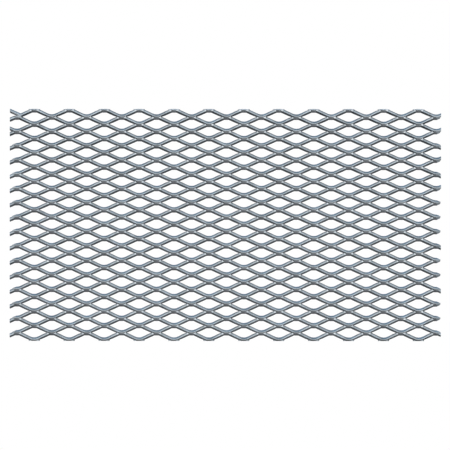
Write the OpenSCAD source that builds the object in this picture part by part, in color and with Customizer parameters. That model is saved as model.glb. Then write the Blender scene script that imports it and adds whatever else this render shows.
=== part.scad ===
// Raised expanded metal: a cut piece of steel sheet that was slit and stretched in one stroke
// after another. Each strand is a zigzag band of the sheet. It is as thick as the sheet and as
// wide as the feed between two strokes, and it stays joined to the next strand at the bonds.
// The stretching turns every strand up on edge by the same angle.
// X runs along the long way of the diamonds, Y along the short way, and the piece lies on z = 0.

/* [Mesh] */
// Long way of a diamond, from bond centre to bond centre
long_pitch = 30.48; // [27:0.01:40]
// Short way of a diamond, from bond centre to bond centre
short_pitch = 12.55; // [10:0.01:14]
// Columns of bonds across the piece, an odd number
bond_columns = 25; // [5:2:35]
// Whole strands from the top edge to the bottom edge, an even number
strand_count = 32; // [4:2:44]

/* [Strand] */
// Width of a strand, which is the feed of the sheet between two strokes
strand_width = 3.05; // [2:0.05:3.6]
// Thickness of the sheet
sheet_thickness = 2.35; // [1.5:0.05:3]
// Radius of the bend that the tooth's tip leaves in a strand's trough
trough_radius = 7; // [4:0.5:10]
// Straight length in the middle of a trough
trough_flat = 1; // [0.2:0.1:3]
// Straight length of a crest, between its two corners
crest_flat = 4; // [2:0.1:6]

/* [Cut edges] */
// From the left cut to the first column of bonds
left_margin = 5.9; // [4.2:0.1:9]
// From the last column of bonds to the right cut
right_margin = 4; // [4:0.1:9]
// From the top cut to the centre of the first row of bonds
top_margin = 0.6; // [0.4:0.1:1]
// From the centre of the last row of bonds to the bottom cut
bottom_margin = 1; // [0.4:0.1:1.2]
// How far a trimmed strand reaches past the centre of its last bond
trim_reach = 3.8; // [3:0.1:4]
// Strand ends left at each bond down the left edge: b both, u upper, d lower, p none
left_ends = "bbdddddddddddddd"; // 22
// Strand ends left at each bond down the right edge: b both, u upper, d lower, p none
right_ends = "uududupppdppdppd"; // 22
// How far the strand end at the top left corner was pulled along the row
corner_pull = 7; // [5:0.1:9]

/* [Hidden] */

steel = [0.56, 0.6, 0.63];

column_step = long_pitch/2;
row_step = short_pitch/2;
half_thickness = sheet_thickness/2;

// Each stroke feeds the sheet by a strand's width and stretches it to the step between rows,
// which sets the tilt of the strands and how far a strand drops from its crests to its troughs.
tilt = acos(strand_width/row_step);
drop = strand_width*tan(tilt);

// The angle of a strand's legs, at which they run from a crest's corner into the trough's bend.
leg_run = column_step - (trough_flat + crest_flat)/2;
leg_angle = atan2(leg_run, trough_radius - drop)
    - acos(trough_radius/norm([leg_run, trough_radius - drop]));

// Sizes over all and the places of the cuts, bond columns and bond rows.
sheet_length = left_margin + (bond_columns - 1)*column_step + right_margin;
sheet_width = top_margin + strand_count*row_step + bottom_margin;
sheet_height = 2*strand_width*sin(tilt) + sheet_thickness*cos(tilt);
left_cut = -sheet_length/2;
first_row = sheet_width/2 - top_margin;

function column_x(column) = left_cut + left_margin + column*column_step;

// Strands count from 0 at the top edge. Even ones have their crests at the odd columns.
function is_crest(strand, column) = abs(column + strand) % 2 == 1;

// A strand's depth in the sheet at a bond, and the side to which it bulges there.
function bond_depth(strand, column) = is_crest(strand, column) ? 0 : drop;
function bulge(strand, column) = is_crest(strand, column) ? -1 : 1;
function flat_length(strand, column) = is_crest(strand, column) ? crest_flat : trough_flat;

// One edge of a strand at a crest, with mitred corners. The front edge is side +1, the back edge -1.
function crest_edge(x, side) =
    let (mitre = side*half_thickness*tan(leg_angle/2))
    [for (hand = [-1, 1]) [x + hand*(crest_flat/2 - mitre), side*half_thickness]];

// One edge of a strand round a trough: the flat and a straight part for each half of the bend.
function trough_edge(x, side) =
    let (radius = trough_radius + side*half_thickness)
    [for (corner = [[-1, leg_angle], [-1, 0], [1, 0], [1, leg_angle]])
        [
            x + corner[0]*(trough_flat/2 + radius*sin(corner[1])),
            drop - trough_radius + radius*cos(corner[1])
        ]
    ];

// The last trough of the pulled strand end is a plain V, where its two legs meet.
trough_corner = trough_flat/2 + trough_radius*tan(leg_angle/2);

function pulled_edge(x, side) = [
    [
        x + corner_pull/2,
        drop + side*half_thickness/cos(leg_angle) + (trough_corner - corner_pull/2)*tan(leg_angle)
    ]
];

function is_pulled(strand, column) = strand == 0 && column <= 0;

// One edge of a strand at a bond.
function bond_edge(strand, column, side) =
    let (
        x = column_x(column),
        pulled = is_pulled(strand, column)
    )
    is_crest(strand, column)
        ? crest_edge(pulled ? x + corner_pull : x, side)
        : pulled ? pulled_edge(x, side) : trough_edge(x, side);

// One whole edge of a strand, a column past the piece at each end.
function wave_edge(strand, side) =
    [for (column = [-1 : bond_columns]) each bond_edge(strand, column, side)];

// The stretch of an edge between two places along X.
function edge_between(edge, from, to) = [
    [from, lookup(from, edge)],
    each [for (point = edge) if (point.x > from && point.x < to) point],
    [to, lookup(to, edge)]
];

// Whether a strand keeps its end past the last bond, at the left (hand -1) or the right (hand +1).
function end_column(hand) = hand < 0 ? 0 : bond_columns - 1;
function end_letter(strand) = is_crest(strand, 0) ? "d" : "u";
function has_tail(strand, hand) =
    let (letter = (hand < 0 ? left_ends : right_ends)[floor(strand/2)])
    letter == "b" || letter == end_letter(strand);

// Where one edge of a strand stops: at the cut, or at the near or far end of its last flat.
function edge_stop(strand, side, hand) =
    let (
        column = end_column(hand),
        past_middle = side == bulge(strand, column) ? 1 : -1
    )
    has_tail(strand, hand)
        ? hand*sheet_length/2
        : column_x(column) + hand*past_middle*flat_length(strand, column)/2;

// A trimmed end slopes from the strand's outer edge to this point beside the bond.
function trimmed_point(strand, hand) =
    let (column = end_column(hand))
    [
        column_x(column) + hand*trim_reach,
        bond_depth(strand, column) + bulge(strand, column)*half_thickness/2
    ];

function strand_edge(strand, side) =
    edge_between(wave_edge(strand, side), edge_stop(strand, side, -1), edge_stop(strand, side, 1));

function reversed(list) = [for (i = [len(list) - 1 : -1 : 0]) list[i]];

function strand_outline(strand) = [
    if (!has_tail(strand, -1)) trimmed_point(strand, -1),
    each strand_edge(strand, 1),
    if (!has_tail(strand, 1)) trimmed_point(strand, 1),
    each reversed(strand_edge(strand, -1))
];

// One strand where it lies in the slit sheet, before the sheet is turned to lie on the floor.
module strand(number) {
    translate([0, drop*number, strand_width*number])
        linear_extrude(strand_width)
            polygon(strand_outline(number));
}

// The space between the top cut and the bottom cut, turned back to the slit sheet.
module between_cuts() {
    rotate([-90 - tilt, 0, 0])
        translate([-sheet_length, top_margin - sheet_width, -sheet_height])
            cube([2*sheet_length, sheet_width, 2*sheet_height]);
}

// A strand at the top or bottom edge, with what lies past the cut taken off.
module edge_strand(number) {
    intersection() {
        strand(number);
        between_cuts();
    }
}

module expanded_sheet() {
    color(steel)
        translate([0, first_row, sheet_height/2])
            rotate([90 + tilt, 0, 0]) {
                for (number = [1 : strand_count - 2])
                    strand(number);
                for (number = [-1, 0, strand_count - 1, strand_count])
                    edge_strand(number);
            }
}

expanded_sheet();
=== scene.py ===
# %% [markdown]
# # A cut piece of raised expanded metal
# The real object is one steel sheet that a press has slit and stretched. Row after row, a comb of
# teeth cuts a line of slits and pushes the strand in front of it down, so the sheet opens into
# diamonds and every strand turns up on edge. Nothing is welded: where two strands meet, at a bond,
# the sheet was simply never cut. This lesson models one bond with the four half legs that leave it,
# repeats that cell over the sheet, cuts the piece out and gives the steel its finishes.

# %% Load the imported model
import math

import bpy
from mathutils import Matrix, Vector


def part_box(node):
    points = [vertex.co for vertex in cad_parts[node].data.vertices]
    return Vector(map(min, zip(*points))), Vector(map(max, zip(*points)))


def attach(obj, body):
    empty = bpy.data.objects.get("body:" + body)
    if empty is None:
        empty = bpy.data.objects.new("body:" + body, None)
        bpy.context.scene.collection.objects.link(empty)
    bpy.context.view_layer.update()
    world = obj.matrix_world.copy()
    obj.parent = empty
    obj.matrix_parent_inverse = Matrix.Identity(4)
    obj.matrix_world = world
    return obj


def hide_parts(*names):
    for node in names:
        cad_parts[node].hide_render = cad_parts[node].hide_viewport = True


MM = 0.001
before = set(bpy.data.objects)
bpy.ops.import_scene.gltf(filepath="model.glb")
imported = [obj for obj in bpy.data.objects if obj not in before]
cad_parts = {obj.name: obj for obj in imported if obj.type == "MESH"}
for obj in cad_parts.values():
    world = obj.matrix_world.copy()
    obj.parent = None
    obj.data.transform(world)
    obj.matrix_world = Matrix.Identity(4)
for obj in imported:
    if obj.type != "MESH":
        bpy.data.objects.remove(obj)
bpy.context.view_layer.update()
sheet_low, sheet_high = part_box("expanded_sheet")
print("packed nodes:", len(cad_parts))
print("sheet box in mm:", [round(side/MM, 2) for side in sheet_high - sheet_low])

# %% [markdown]
# ## The sizes of the mesh
# The cell is modelled in millimetres and turned to metres once, at the end. The press sets the
# pitches, the strand's width and the sheet's thickness. A strand as wide as `STRAND_WIDTH` that is
# stretched to half the short pitch has to tilt, and the tilt follows from the two.

# %% Sizes in millimetres
LONG_PITCH = 30.48
SHORT_PITCH = 12.55
STRAND_WIDTH = 3.05
THICKNESS = 2.35

COLUMN_STEP = LONG_PITCH/2
ROW_STEP = SHORT_PITCH/2
HALF_LEG = COLUMN_STEP/2
TILT = math.acos(STRAND_WIDTH/ROW_STEP)
DROP = STRAND_WIDTH*math.tan(TILT)

sheet_left, sheet_bottom, _ = sheet_low/MM
sheet_right, sheet_top, sheet_height = sheet_high/MM
print("strands tilt by", round(math.degrees(TILT), 1), "degrees and drop by", round(DROP, 2), "mm")

# %% [markdown]
# ## The path of a strand
# Seen square to the sheet, a strand zigzags: a crest at one bond, a trough at the next, and straight
# legs between. The bond holds the strand's lower edge flat, so that edge has a short flat with tight
# corners. All edges run into the same leg, or the legs of neighbouring cells wouldn't meet.

# %% Flats and corners
CREST_CORNER = 2.0
TROUGH_CORNER = 2.17
CORNER_RADIUS = 2.2

leg_slope = DROP/(COLUMN_STEP - CREST_CORNER - TROUGH_CORNER)
leg_angle = math.atan(leg_slope)


def corner_path(x, corner):
    """How far a path has left its flat at x, past a rounded corner, and its angle there."""
    start = corner - CORNER_RADIUS*math.tan(leg_angle/2)
    if x <= start:
        return 0, 0
    if x >= start + CORNER_RADIUS*math.sin(leg_angle):
        return (x - corner)*leg_slope, leg_angle
    angle = math.asin((x - start)/CORNER_RADIUS)
    return CORNER_RADIUS*(1 - math.cos(angle)), angle


def crest_path(x):
    return corner_path(abs(x), CREST_CORNER)


def trough_path(x):
    fall, angle = corner_path(abs(x), TROUGH_CORNER)
    return -fall, angle


print("legs run at", round(math.degrees(leg_angle), 1), "degrees to the row")

# %% [markdown]
# The rounded tip of the tooth presses on the upper edge of a trough, so that edge has no flat. It is
# one wide arc that touches both legs.

# %% The arc under the tooth
TOOTH_RADIUS = 11.0


def tooth_path(x):
    x = abs(x)
    if x >= TOOTH_RADIUS*math.sin(leg_angle):
        return (TROUGH_CORNER - x)*leg_slope, leg_angle
    centre = TROUGH_CORNER*leg_slope - TOOTH_RADIUS/math.cos(leg_angle)
    return centre + math.sqrt(TOOTH_RADIUS**2 - x**2), math.asin(x/TOOTH_RADIUS)


print("the middle of the arc lies", round(-tooth_path(0)[0], 2), "mm under the flat of the lower edge")

# %% [markdown]
# ## Working in edit mode from code
# By hand you would click the ring of points that you want to move. Here a short function does the
# clicking: it deselects everything and then selects what passes a test on its place or its normal.
# A ring has four edges that can be moved by themselves: the back and front edges of the upper face,
# the crown between them, and the front edge below.

# %% Select a ring of points
TINY = 0.001
# Each edge by whether it is in the upper half, and by its side: back, middle or front.
EDGES = {"back": (True, -1), "crown": (True, 0), "front": (True, 1), "below": (False, 1)}


def select(piece, points=None, faces=None):
    """Select the points that pass a test on their place, or the faces by their centre and normal."""
    bpy.ops.object.mode_set(mode="EDIT")
    bpy.ops.mesh.select_mode(type="VERT" if points else "FACE")
    bpy.ops.mesh.select_all(action="DESELECT")
    bpy.ops.object.mode_set(mode="OBJECT")
    if points:
        for point in piece.data.vertices:
            point.select = points(point.co)
    if faces:
        for face in piece.data.polygons:
            face.select = faces(face.center, face.normal)
    bpy.ops.object.mode_set(mode="EDIT")


def ring(piece, place, middle, upper, side=None):
    """Select the upper or lower points of a ring, or of them only those on one side."""
    select(piece, points=lambda at: abs(at.x - place) < TINY and (at.y > middle) == upper
           and (side is None or (at.z > TINY) - (at.z < -TINY) == side))


print("edges of a ring:", list(EDGES))

# %% [markdown]
# ## One strand at a bond
# A strand starts as a cube of its real width and thickness. Bisecting it at a few places gives the
# rings that the bends need, and one more cut along its middle gives the crown of the sheared faces.
# At each ring the edges are shifted, across the strand and through it, and then the upper and the
# lower half of the ring move to their paths.


# %% Shape a strand from a cube
def strand(name, low, upper_path, lower_path, rings):
    """A strand from half leg to half leg, with the shifts of the edges at each of its rings."""
    middle = low + STRAND_WIDTH/2
    bpy.ops.object.select_all(action="DESELECT")
    bpy.ops.mesh.primitive_cube_add(size=1, location=(0, middle, 0))
    piece = bpy.context.object
    piece.name = name
    piece.scale = (2*HALF_LEG, STRAND_WIDTH, THICKNESS)
    bpy.ops.object.transform_apply(location=True, rotation=False, scale=True)
    bpy.ops.object.mode_set(mode="EDIT")
    for place in rings:
        bpy.ops.mesh.select_all(action="SELECT")
        bpy.ops.mesh.bisect(plane_co=(place, 0, 0), plane_no=(1, 0, 0), threshold=TINY)
    bpy.ops.mesh.select_all(action="SELECT")
    bpy.ops.mesh.bisect(plane_co=(0, 0, 0), plane_no=(0, 0, 1), threshold=TINY)
    for place, shifts in rings.items():
        for upper, path in ((True, upper_path), (False, lower_path)):
            depth, angle = path(place)
            for edge, (across, _) in shifts.items():
                if EDGES[edge][0] == upper:
                    ring(piece, place, middle, *EDGES[edge])
                    bpy.ops.transform.translate(value=(0, across, 0))
            ring(piece, place, middle, upper)
            bpy.ops.transform.resize(value=(1, 1, 1/math.cos(angle)), center_override=(place, 0, 0))
            for edge, (_, through) in shifts.items():
                if EDGES[edge][0] == upper and through:
                    ring(piece, place, middle, *EDGES[edge])
                    bpy.ops.transform.translate(value=(0, 0, through))
            ring(piece, place, middle, upper)
            bpy.ops.transform.translate(value=(0, 0, depth))
    bpy.ops.object.mode_set(mode="OBJECT")
    return piece


print("a strand starts as a cube of", 2*HALF_LEG, "by", STRAND_WIDTH, "by", THICKNESS, "mm")

# %% [markdown]
# ### The strand above the bond
# The tooth drew the steel in before it broke, so the back of the upper face is rolled over, most of
# all in the trough. The two hands of a bond differ a little, in the same way all over the real sheet,
# so each hand has rings of its own. A strand that was trimmed beside its bond runs straight to its end.

# %% The upper strand
TROUGH_BEND = 1.9
LEG_START = 4.4
LEG_RING = {"back": (0.05, 0), "crown": (0.5, 0.05), "front": (0.15, -0.1), "below": (0.1, 0)}


def both_hands(left, right):
    """The rings of both hands, where each hand lists its rings by their reach from the bond's middle."""
    return {**{-reach: shifts for reach, shifts in left.items()}, **right}


UPPER_RINGS = both_hands(
    left={
        0: {"back": (-0.9, 0), "crown": (-0.25, 0.55), "front": (-1.05, -0.05), "below": (0, 0)},
        TROUGH_BEND: {"back": (-0.8, 0), "crown": (-0.2, 0.5), "front": (-0.75, 0), "below": (0, 0)},
        LEG_START: {"back": (-0.3, 0), "crown": (0.3, 0), "front": (0.2, 0), "below": (0.35, 0)},
        HALF_LEG: LEG_RING,
    },
    right={
        TROUGH_BEND: {"back": (-0.8, 0), "crown": (-0.3, 0.7), "front": (-0.95, 0), "below": (0, 0)},
        LEG_START: {"back": (-0.3, 0), "crown": (0.1, 0.4), "front": (0, 0), "below": (0.35, 0)},
        HALF_LEG: LEG_RING,
    },
)


def straight(path, hands):
    """The same path, but on the given hands it runs straight on from the middle of the bond."""
    return lambda x: path(0) if any(hand*x > 0 for hand in hands) else path(x)


def upper_strand(trimmed):
    """The trough above a bond, with straight ends on the trimmed hands."""
    rings = dict(UPPER_RINGS)
    for hand in trimmed:
        rings[hand*LEG_START] = rings[hand*HALF_LEG] = rings[hand*TROUGH_BEND]
    tooth = straight(tooth_path, trimmed)
    return strand("upper strand", 0, tooth, straight(trough_path, trimmed), rings)


print("rings of the upper strand:", sorted(UPPER_RINGS))

# %% [markdown]
# ### The strand below the bond
# Where a slit ends, a web of torn steel rises from the crest towards the strand above. It is larger
# on the right of a bond than on its left. The bonds at the side edges have none towards the cut.

# %% The lower strand
CREST_BEND = 2.0
WEB_REACH = 3.8
LOWER_RINGS = both_hands(
    left={
        CREST_BEND: {"back": (-0.3, 0), "crown": (0.3, 0.9), "front": (0.2, -0.06), "below": (0.28, 0)},
        WEB_REACH: {"back": (0.2, 0), "crown": (1.2, -0.4), "front": (0.6, 0.05), "below": (0.25, 0)},
        LEG_START: {"back": (-0.2, 0), "crown": (0.9, 0), "front": (0.35, -0.05), "below": (0.2, 0)},
        HALF_LEG: LEG_RING,
    },
    right={
        CREST_BEND: {"back": (0, 0), "crown": (1.1, 0.9), "front": (0.5, -0.06), "below": (0.28, 0)},
        WEB_REACH: {"back": (0.6, 0), "crown": (2.0, -0.4), "front": (0.9, 0.05), "below": (0.25, 0)},
        LEG_START: {"back": (0.3, 0), "crown": (0.9, 0), "front": (0.65, -0.05), "below": (0.2, 0)},
        HALF_LEG: LEG_RING,
    },
)


def lower_strand(trimmed, plain, web):
    """The crest below a bond: straight on the trimmed hands, without a web on the plain ones.

    The rings in web, if any, take the place of its own."""
    rings = dict(LOWER_RINGS)
    for hand in plain:
        rings[hand*CREST_BEND] = rings[hand*WEB_REACH] = rings[hand*LEG_START] = LEG_RING
    for hand in trimmed:
        rings[hand*WEB_REACH] = rings[hand*LEG_START] = rings[hand*HALF_LEG] = {}
    rings.update(web)
    path = straight(crest_path, trimmed)
    return strand("lower strand", -STRAND_WIDTH, path, path, rings)


print("rings of the lower strand:", sorted(LOWER_RINGS))

# %% [markdown]
# ### The pulled corner
# At the top left corner the strand end was pulled along the row and is bent like a V. Under it the
# steel tore less, so a web fills the crook.

# %% The pulled strand end
CORNER_PULL = 6.8
PULLED_BEND = {"back": (-0.3, 0), "crown": (0, 0), "front": (-0.3, 0), "below": (0, 0)}
PULLED_WEB = {
    0: {"back": (0.3, 0), "crown": (2.0, -0.3), "front": (1.3, 0), "below": (0, 0)},
    CREST_BEND: {"back": (0.6, 0), "crown": (2.8, 0), "front": (1.0, 0), "below": (0.28, 0)},
}


def pulled_path(x):
    past = abs(x - CORNER_PULL/2) + CORNER_PULL/2 - TROUGH_CORNER
    return -past*leg_slope, leg_angle


def pulled_strand():
    rings = {-HALF_LEG: LEG_RING, CORNER_PULL/2: PULLED_BEND, HALF_LEG: LEG_RING}
    return strand("pulled strand", 0, pulled_path, pulled_path, rings)


print("the outer leg was pulled by", CORNER_PULL, "mm")

# %% [markdown]
# ## The finishes of the steel
# Plain carbon steel has five looks here. A sheared face is burnished at its back, where the tooth slid
# along it, and lighter and rougher at its front, where the steel broke. On top of that its back is painted
# darker and bluer, as painted shade and a painted reflection of the cool lamp, and its front paler, as
# painted light of the lamp overhead. The rolled faces still carry the thin mill skin of the sheet and are
# darker. At the bonds that skin is painted lighter, as painted light, and darker towards the floor, as
# painted shade. Beside the bonds, where the slits end, the steel is torn, and its near white is a painted
# highlight.


# %% Helpers for materials
def linear(hex_colour):
    """An sRGB hex colour as the linear values that a shader takes."""
    parts = [int(hex_colour[i:i + 2], 16)/255 for i in (1, 3, 5)]
    return [part/12.92 if part <= 0.04045 else ((part + 0.055)/1.055)**2.4 for part in parts] + [1]


def add_node(tree, kind, links=None, **settings):
    """Add a node, set its sockets and properties by name, and link its inputs."""
    node = tree.nodes.new(kind)
    for key, value in settings.items():
        if key in node.inputs:
            node.inputs[key].default_value = value
        else:
            setattr(node, key, value)
    for socket, source in (links or {}).items():
        tree.links.new(source, node.inputs[socket])
    return node


print("a middle grey is", round(linear("#808080")[0], 3), "of white to a shader")

# %% [markdown]
# All five are built in the same way. A noise as wide as the blotches of the mill skin makes the colour
# a little darker here and lighter there. A second noise is drawn out into the grain of the face, such
# as the lines along the tooth's travel, and it varies the gloss and raises a faint bump. The real
# grain is about a tenth of a millimetre wide. That is too fine to show, so it is drawn coarser.

# %% A steel with blotches and grain
BLOTCH = 7.0
GRAIN_DEPTH = 0.1
GRAIN_STRENGTH = 0.7
# Nearly all values of a noise lie in this range. It is spread over shades, or over a range of gloss.
NOISE = {"From Min": 0.3, "From Max": 0.7}
SHADES = {"To Min": 0.8, "To Max": 1.2}
GLOSS_SPREAD = 0.1
# A second colour, painted light over the painted shade of the first, takes over between these shares of
# the sheet's height.
PAINTED_GRADIENT_FROM, PAINTED_GRADIENT_TO = 0.2, 0.8


def steel(name, colour, metallic, roughness, grain, painted_light_colour=None):
    """Carbon steel with blotches and a grain of the given sizes along X and across it, in millimetres.

    With a painted-light colour it turns from the one colour to the other up the sheet's height, as painted
    light over painted shade."""
    material = bpy.data.materials.new(name)
    material.use_nodes = True
    tree = material.node_tree
    shader = tree.nodes["Principled BSDF"]
    shader.inputs["Metallic"].default_value = metallic
    place = add_node(tree, "ShaderNodeTexCoord").outputs["Object"]
    blotches = add_node(tree, "ShaderNodeTexNoise", {"Vector": place}, Scale=1/(BLOTCH*MM), Detail=4.0)
    along, across = grain
    drawn = add_node(tree, "ShaderNodeMapping", {"Vector": place},
                     Scale=(1/(along*MM), 1/(across*MM), 1/(across*MM)))
    lines = add_node(tree, "ShaderNodeTexNoise", {"Vector": drawn.outputs[0]}, Scale=1.0, Detail=3.0)
    blotch_shade, line_shade = (
        add_node(tree, "ShaderNodeMapRange", {"Value": noise.outputs[0]}, **NOISE, **SHADES)
        for noise in (blotches, lines))
    shade = add_node(tree, "ShaderNodeMath", {0: blotch_shade.outputs[0], 1: line_shade.outputs[0]},
                     operation="MULTIPLY")
    tint = add_node(tree, "ShaderNodeHueSaturation", {"Value": shade.outputs[0]}, Color=linear(colour))
    # A painted-light colour makes the face lighter up its height, over painted shade low down.
    if painted_light_colour:
        axes = add_node(tree, "ShaderNodeSeparateXYZ", {0: place})
        height = add_node(tree, "ShaderNodeMapRange", {"Value": axes.outputs["Z"]},
                          **{"From Min": PAINTED_GRADIENT_FROM*sheet_height*MM, "From Max": PAINTED_GRADIENT_TO*sheet_height*MM})
        blend = add_node(tree, "ShaderNodeMix", {"Factor": height.outputs[0]}, data_type="RGBA",
                         A=linear(colour), B=linear(painted_light_colour))
        tree.links.new(blend.outputs["Result"], tint.inputs["Color"])
    gloss = add_node(tree, "ShaderNodeMapRange", {"Value": lines.outputs[0]}, **NOISE,
                     **{"To Min": roughness - GLOSS_SPREAD, "To Max": roughness + GLOSS_SPREAD})
    bump = add_node(tree, "ShaderNodeBump", {"Height": lines.outputs[0]},
                    Strength=GRAIN_STRENGTH, Distance=GRAIN_DEPTH*MM)
    tree.links.new(tint.outputs[0], shader.inputs["Base Color"])
    tree.links.new(gloss.outputs[0], shader.inputs["Roughness"])
    tree.links.new(bump.outputs[0], shader.inputs["Normal"])
    return material


print("blotches are about", BLOTCH, "mm wide")

# %% [markdown]
# The five differ in colour, in how much they mirror as bare metal does, in gloss and in the size and
# direction of their grain.

# %% Make the five finishes
BURNISHED_SHADED, FRACTURED_LIT, ROLLED, BOND_PAINTED_LIGHT, TORN_HIGHLIGHT = range(5)
finishes = [
    # The tooth slid along this part of the cut: smooth, with fine lines along its travel. Its darker blue
    # is painted shade and a painted reflection of the cool lamp on the facets that lean back.
    steel("burnished carbon steel with painted shade", "#8399a9", 0.7, 0.4, (0.5, 5.0)),
    # Here the steel broke away from the tooth: matt and evenly grainy, and pale, partly as painted light
    # of the lamp overhead on the facets that face it.
    steel("fractured carbon steel with painted light", "#bcc7cf", 0.4, 0.65, (0.6, 0.9)),
    # The face of the sheet as it left the rolls: a thin grey skin with soft lines along the row.
    steel("hot rolled carbon steel", "#636b72", 0.6, 0.55, (4.0, 0.8)),
    # The same skin at the bonds: duller, with the roughness of orange peel, painted lighter as painted
    # light and darker towards the floor as painted shade.
    steel("stretched carbon steel", "#70757a", 0.3, 0.6, (1.2, 1.2), "#94999e"),
    # Where a slit ends the steel tore: coarse, and near white as a painted highlight.
    steel("torn carbon steel with painted highlight", "#ecf5fd", 0.2, 0.6, (0.5, 0.5)),
]
print("finishes:", [material.name for material in finishes])

# %% [markdown]
# ## Trimmed strand ends
# The cut edges of the real piece were trimmed by hand, so at the side edges a strand may end in a
# point beside its last bond. On the left the two slopes of such a point are long, on the right they
# are blunt. A bisect with a filled cut makes each slope, on a strand that is still a simple closed
# shape.

# %% Trim a strand's end
TRIM_REACH = 3.8
# Where the slopes of a hand start on the strand's two faces, from the middle of the bond.
SLOPE_STARTS = {-1: (1.5, 0.5), 1: (3.2, 0.9)}


def make_active(piece):
    bpy.ops.object.select_all(action="DESELECT")
    piece.select_set(True)
    bpy.context.view_layer.objects.active = piece


def cut_off(piece, co, outward):
    """Cut away what lies past a plane and close the cut."""
    make_active(piece)
    bpy.ops.object.mode_set(mode="EDIT")
    bpy.ops.mesh.select_all(action="SELECT")
    bpy.ops.mesh.bisect(plane_co=co, plane_no=outward, use_fill=True, clear_outer=True, threshold=TINY)
    bpy.ops.object.mode_set(mode="OBJECT")


def trim(piece, hand, bulge):
    """Cut a strand's end to a point beside the bond, with one slope from each of its faces."""
    tip = Vector((hand*TRIM_REACH, 0, bulge*THICKNESS/4))
    for side, start in zip((1, -1), SLOPE_STARTS[hand]):
        along = tip - Vector((hand*start, 0, side*bulge*THICKNESS/2))
        across = Vector((along.z, 0, -along.x)).normalized()
        cut_off(piece, tip, across if across.x*hand > 0 else -across)


print("trimmed ends reach", TRIM_REACH, "mm from the middle of a bond")

# %% [markdown]
# ## Which face has which finish
# A face gets its finish by its place and the way that it is turned, before the cell is tilted. It also
# matters what a cut edge left on that hand of the bond: all (w), both strand ends (b), the upper one
# (u), the lower one (d), none (p), the pulled one (c), or a stub below (s).

# %% Choose a finish
WHOLE = "w"
PULLED = "c"
SHEARED = "s"
UPPER_TRIMMED = "dp"
LOWER_TRIMMED = "up"
# The torn webs, with their painted highlight, lie between these distances beside the bond, and under this
# height.
TORN_HIGHLIGHT_FROM, TORN_HIGHLIGHT_TO = 1.9, 3.7
TORN_HIGHLIGHT_TOP = 1.8
BOND_PAINTED_LIGHT_REACH = 2
# Limits of a normal's parts, for webs that face up and forward, trimmed ends and rolled faces.
WEB_TURN = 0.2
END_TURN = 0.1
ROLLED_TURN = 0.45
# Facets that lean back past this get the burnished colour with its painted shade.
BURNISHED_SHADED_TURN = -0.02


def finish(at, normal, kept):
    """The finish of a face at a bond, by the strand ends that were kept on its hand."""
    in_web = TORN_HIGHLIGHT_FROM < abs(at.x) < TORN_HIGHLIGHT_TO and at.y < TORN_HIGHLIGHT_TOP
    # A web beside a whole bond that faces up and forward gets the torn finish, whose near white is a
    # painted highlight.
    if kept == WHOLE and in_web and normal.y > WEB_TURN and normal.z > WEB_TURN:
        return TORN_HIGHLIGHT
    trimmed = kept in (UPPER_TRIMMED if at.y > 0 else LOWER_TRIMMED)
    if trimmed and abs(normal.y) < END_TURN and normal.x*at.x > END_TURN:
        return FRACTURED_LIT
    # By the way a sheared facet leans it gets the darker, bluer burnished colour, as painted shade, and
    # otherwise the pale fractured one, as painted light.
    if abs(normal.y) >= ROLLED_TURN:
        return BURNISHED_SHADED if normal.y*normal.z < BURNISHED_SHADED_TURN else FRACTURED_LIT
    if kept in UPPER_TRIMMED + LOWER_TRIMMED and at.x > 0 and at.y > 0 and normal.z > 0:
        return FRACTURED_LIT
    # Rolled faces near the middle of a whole bond get the lighter skin, as painted light, with painted
    # shade towards the floor.
    gets_bond_painted_light = normal.z > 0 and abs(at.x) < BOND_PAINTED_LIGHT_REACH and kept != SHEARED
    return BOND_PAINTED_LIGHT if gets_bond_painted_light else ROLLED


crown = finish(Vector((0, STRAND_WIDTH, 0)), Vector((0, 1, 0)), WHOLE)
print("the top of a strand is", finishes[crown].name)

# %% [markdown]
# ## The bond
# Two strands that touch face to face are made one with a Boolean union. The bottom cut went through
# the strand below its bonds and left short stubs, so those cells have their legs cut off. The end
# caps of the half legs are deleted afterwards, so that the cells can be merged into one skin.

# %% Model a bond cell
STUB = 4.8
SLIVER = 0.15
NO_WEB = "bd" + PULLED


def apply_modifier(piece, name, kind, **settings):
    make_active(piece)
    modifier = piece.modifiers.new(name, kind)
    for key, value in settings.items():
        setattr(modifier, key, value)
    bpy.ops.object.modifier_apply(modifier=name)


def joined_strands(left, right):
    """The two strands of a bond, trimmed and cut as their hands ask, in one closed shape."""
    hands = {-1: left, 1: right}
    upper_trimmed = [hand for hand, kept in hands.items() if kept in UPPER_TRIMMED]
    lower_trimmed = [hand for hand, kept in hands.items() if kept in LOWER_TRIMMED]
    plain = [hand for hand, kept in hands.items() if kept in NO_WEB]
    upper = pulled_strand() if left == PULLED else upper_strand(upper_trimmed)
    lower = lower_strand(lower_trimmed, plain, PULLED_WEB if left == PULLED else {})
    for hand in upper_trimmed:
        trim(upper, hand, 1)
    for hand in lower_trimmed:
        trim(lower, hand, -1)
    for hand, kept in hands.items():
        if kept == SHEARED:
            cut_off(lower, (hand*STUB, 0, 0), (hand, 0, 0))
    apply_modifier(upper, "bond", "BOOLEAN", object=lower, operation="UNION", solver="EXACT")
    bpy.data.objects.remove(lower)
    return upper


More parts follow.
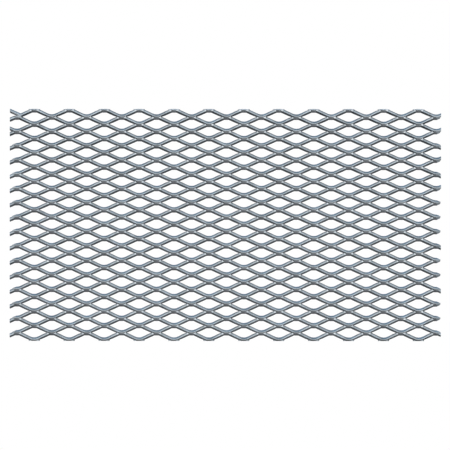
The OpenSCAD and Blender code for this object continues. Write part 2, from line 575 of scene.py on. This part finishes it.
def bond_cell(name, left=WHOLE, right=WHOLE):
    """A bond with its open half legs and its finishes, tilted as it lies in the sheet."""
    piece = joined_strands(left, right)
    piece.name = name
    select(piece, faces=lambda at, normal: abs(at.x) > HALF_LEG - TINY)
    bpy.ops.mesh.delete(type="FACE")
    bpy.ops.mesh.select_all(action="SELECT")
    bpy.ops.mesh.remove_doubles(threshold=SLIVER)
    bpy.ops.mesh.delete_loose()
    bpy.ops.object.mode_set(mode="OBJECT")
    piece.data.materials.clear()
    for material in finishes:
        piece.data.materials.append(material)
    for face in piece.data.polygons:
        face.material_index = finish(face.center, face.normal, right if face.center.x > 0 else left)
    make_active(piece)
    piece.rotation_euler = (TILT, 0, 0)
    bpy.ops.object.transform_apply(location=False, rotation=True, scale=False)
    return piece


cell = bond_cell("bond cell")
bottom_cell = bond_cell("bottom bond cell", left=SHEARED, right=SHEARED)
print("a bond cell has", len(cell.data.polygons), "faces")

# %% [markdown]
# ## The sheet
# Bonds stand in staggered rows, so two Array modifiers on each of two copies of the cell fill the
# sheet. A third copy makes the bottom row.

# %% Repeat the cell
BOND_COLUMNS = 25
BOND_ROWS = 33
LEFT_MARGIN = 5.9
TOP_MARGIN = 0.6
first_x = sheet_left + LEFT_MARGIN
first_y = sheet_top - TOP_MARGIN


def copy_at(source, column, row):
    piece = source.copy()
    piece.data = source.data.copy()
    piece.location = (first_x + column*COLUMN_STEP, first_y - row*ROW_STEP, sheet_height/2)
    bpy.context.scene.collection.objects.link(piece)
    return piece


def field(source, column, row, columns, rows):
    piece = copy_at(source, column, row)
    array = dict(use_relative_offset=False, use_constant_offset=True)
    apply_modifier(piece, "along the row", "ARRAY", count=columns,
                   constant_offset_displace=(LONG_PITCH, 0, 0), **array)
    apply_modifier(piece, "down the sheet", "ARRAY", count=rows,
                   constant_offset_displace=(0, -SHORT_PITCH, 0), **array)
    return piece


pieces = [
    field(cell, 1, 0, BOND_COLUMNS//2, BOND_ROWS//2),
    field(cell, 2, 1, BOND_COLUMNS//2 - 1, BOND_ROWS//2),
    field(bottom_cell, 1, BOND_ROWS - 1, BOND_COLUMNS//2, 1),
]
bpy.data.objects.remove(cell)
bpy.data.objects.remove(bottom_cell)
print("faces of the three fields:", [len(piece.data.polygons) for piece in pieces])

# %% [markdown]
# The bonds down the left and right edges have ends of their own, one letter for each bond from the
# top, and are set one by one. Merging by distance then joins all the legs.

# %% Set the bonds of the side edges
LEFT_ENDS = PULLED + "bdddddddddddddd"
RIGHT_ENDS = "uududupppdppdppd"
SEAM = 0.01

for side, ends, column in (("left", LEFT_ENDS, 0), ("right", RIGHT_ENDS, BOND_COLUMNS - 1)):
    cells = {kind: bond_cell(f"{side} end {kind}", **{side: kind}) for kind in sorted(set(ends))}
    pieces += [copy_at(cells[kind], column, 2*bond + 1) for bond, kind in enumerate(ends)]
    for source in cells.values():
        bpy.data.objects.remove(source)

sheet = pieces[0]
make_active(sheet)
for piece in pieces:
    piece.select_set(True)
bpy.ops.object.join()
sheet.name = "expanded_steel_sheet"
bpy.ops.object.transform_apply(location=True, rotation=False, scale=False)
bpy.ops.object.mode_set(mode="EDIT")
bpy.ops.mesh.select_all(action="SELECT")
bpy.ops.mesh.remove_doubles(threshold=SEAM)
bpy.ops.object.mode_set(mode="OBJECT")
print("joined", len(pieces), "pieces into", len(sheet.data.polygons), "faces")

# %% [markdown]
# ## The uneven feed of the press
# A press never feeds a sheet quite evenly. In the real piece the rows near the top and the bottom
# stand a few tenths of a millimetre low and those in the middle as much high, and the columns stand
# a trace closer. A lattice round the sheet, with a row of control points for each step of the list,
# moves them there.

# %% Nudge the rows
ROW_NUDGES = (-0.2, -0.07, 0.2, 0.33, 0.06, -0.35, -0.4)
COLUMN_SHRINK = 0.9987
POINTS_ALONG = 2
bpy.ops.object.select_all(action="DESELECT")
bpy.ops.object.add(type="LATTICE", location=(0, 0, sheet_height/2))
feed = bpy.context.object
feed.scale = (sheet_right - sheet_left, sheet_top - sheet_bottom, sheet_height)
feed.data.points_u = feed.data.points_w = POINTS_ALONG
feed.data.points_v = len(ROW_NUDGES)
feed.data.interpolation_type_u = feed.data.interpolation_type_w = "KEY_LINEAR"
feed.data.interpolation_type_v = "KEY_CATMULL_ROM"
for i, point in enumerate(feed.data.points):
    point.co_deform.x *= COLUMN_SHRINK
    point.co_deform.y += ROW_NUDGES[i//POINTS_ALONG % len(ROW_NUDGES)]/feed.scale.y
apply_modifier(sheet, "uneven feed", "LATTICE", object=feed)
bpy.data.objects.remove(feed)
print("rows moved by", min(ROW_NUDGES), "to", max(ROW_NUDGES), "mm")

# %% [markdown]
# ## Cutting the piece out
# The piece was sheared out of a larger sheet, straight through strands and bonds. Four bisects with
# filled cuts do the same. The top cut leans back a little, so a fifth one slopes off the bonds there,
# and its face is a freshly broken one that gets the torn finish, near white as a painted highlight.

# %% Cut the four edges
TOP_LEAN = math.radians(20)
LEAN_FOOT = 1.9
# The faces of the leaning cut are found by their place and their normal.
TOP_STRIP = 2
SAME_WAY = 0.99
SMOOTH_ANGLE = math.radians(25)

leaning = Vector((0, math.cos(TOP_LEAN), math.sin(TOP_LEAN)))
cut_off(sheet, (sheet_left, 0, 0), (-1, 0, 0))
cut_off(sheet, (sheet_right, 0, 0), (1, 0, 0))
cut_off(sheet, (0, sheet_bottom, 0), (0, -1, 0))
cut_off(sheet, (0, sheet_top, 0), (0, 1, 0))
cut_off(sheet, (0, sheet_top, LEAN_FOOT), leaning)
select(sheet, faces=lambda at, normal: at.y > sheet_top - TOP_STRIP and normal.dot(leaning) > SAME_WAY)
# The leaning cut gets the torn finish too, with its painted highlight.
sheet.active_material_index = TORN_HIGHLIGHT
bpy.ops.object.material_slot_assign()
bpy.ops.object.mode_set(mode="OBJECT")
sheet.scale = (MM, MM, MM)
bpy.ops.object.transform_apply(location=False, rotation=False, scale=True)
bpy.ops.object.shade_smooth_by_angle(angle=SMOOTH_ANGLE)
print("the sheet has", len(sheet.data.polygons), "faces")

# %% [markdown]
# ## Put the sheet in its place
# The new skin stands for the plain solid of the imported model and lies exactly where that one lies.

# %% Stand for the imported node
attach(sheet, "root")
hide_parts("expanded_sheet")
print(sheet.name, "stands for the packed solid")

# %% [markdown]
# ## Floor
# The piece lies on a plain white floor. To the camera the floor is pure white. To the steel it is a
# middle grey, because a white floor would light the dark faces from below.

# %% Lay the floor
# In metres.
FLOOR_SIZE = 6
FLOOR_GAP = 0.0005
bpy.ops.object.select_all(action="DESELECT")
bpy.ops.mesh.primitive_plane_add(size=FLOOR_SIZE, location=(0, 0, -FLOOR_GAP))
floor = bpy.context.object
floor.name = "floor"
floor_material = bpy.data.materials.new("white floor")
floor_material.use_nodes = True
floor_tree = floor_material.node_tree
floor_tree.nodes.clear()
light_path = add_node(floor_tree, "ShaderNodeLightPath")
seen = add_node(floor_tree, "ShaderNodeEmission", Color=linear("#ffffff"), Strength=1.0)
lit = add_node(floor_tree, "ShaderNodeBsdfDiffuse", Color=linear("#808080"))
mixed = add_node(floor_tree, "ShaderNodeMixShader",
                 {0: light_path.outputs["Is Camera Ray"], 1: lit.outputs[0], 2: seen.outputs[0]})
add_node(floor_tree, "ShaderNodeOutputMaterial", {"Surface": mixed.outputs[0]})
floor.data.materials.append(floor_material)
print("the floor lies", FLOOR_GAP/MM, "mm under the sheet")

# %% [markdown]
# ## Light
# A wide lamp overhead lights the sheet evenly. A cooler one stands low beyond the top edge and gives
# the faces that are turned that way their blue, and a dim sky all round fills the rest. The Standard
# view transform keeps white as white.


# %% Light the sheet
def soft_light(name, size, watts, colour, place):
    """A rectangular lamp that faces the middle of the sheet, with its size and place in metres."""
    data = bpy.data.lights.new(name, "AREA")
    data.shape = "RECTANGLE"
    data.size, data.size_y = size
    data.energy = watts
    data.color = linear(colour)[:3]
    lamp = bpy.data.objects.new(name, data)
    lamp.location = place
    lamp.rotation_euler = (-lamp.location).to_track_quat("-Z", "Y").to_euler()
    bpy.context.scene.collection.objects.link(lamp)


soft_light("key", (1.2, 0.7), 27, "#fff8f2", Vector((0, 0.05, 1.9)))
soft_light("sky", (2.4, 0.8), 12, "#c0d8f0", Vector((0, 2.0, 0.55)))

WORLD_STRENGTH = 0.18
world = bpy.data.worlds.new("studio")
bpy.context.scene.world = world
world.use_nodes = True
background = world.node_tree.nodes["Background"]
background.inputs["Color"].default_value = linear("#daf0ff")
background.inputs["Strength"].default_value = WORLD_STRENGTH
bpy.context.scene.view_settings.view_transform = "Standard"
print("lights:", [light.name for light in bpy.data.lights])

# %% [markdown]
# ## Camera
# The camera looks straight down from far above with a long lens, so the diamonds at the edges look
# like those in the middle. It stands a trace beside the middle of the sheet and is turned a trace.

# %% Set up the camera
# In metres, apart from the roll, in radians, and the sensor, in millimetres.
PHOTO_WIDTH = 0.3928
CAMERA_HEIGHT = 2.2
CAMERA_SHIFT = (-0.00028, -0.00017)
CAMERA_ROLL = 0.0007
SENSOR = 36
camera_data = bpy.data.cameras.new("camera")
camera_data.sensor_width = SENSOR
camera_data.lens = SENSOR*CAMERA_HEIGHT/PHOTO_WIDTH
camera = bpy.data.objects.new("camera", camera_data)
camera.location = (*CAMERA_SHIFT, CAMERA_HEIGHT)
camera.rotation_euler = (0, 0, CAMERA_ROLL)
bpy.context.scene.collection.objects.link(camera)
bpy.context.scene.camera = camera
print("the lens is", round(camera_data.lens), "mm long")
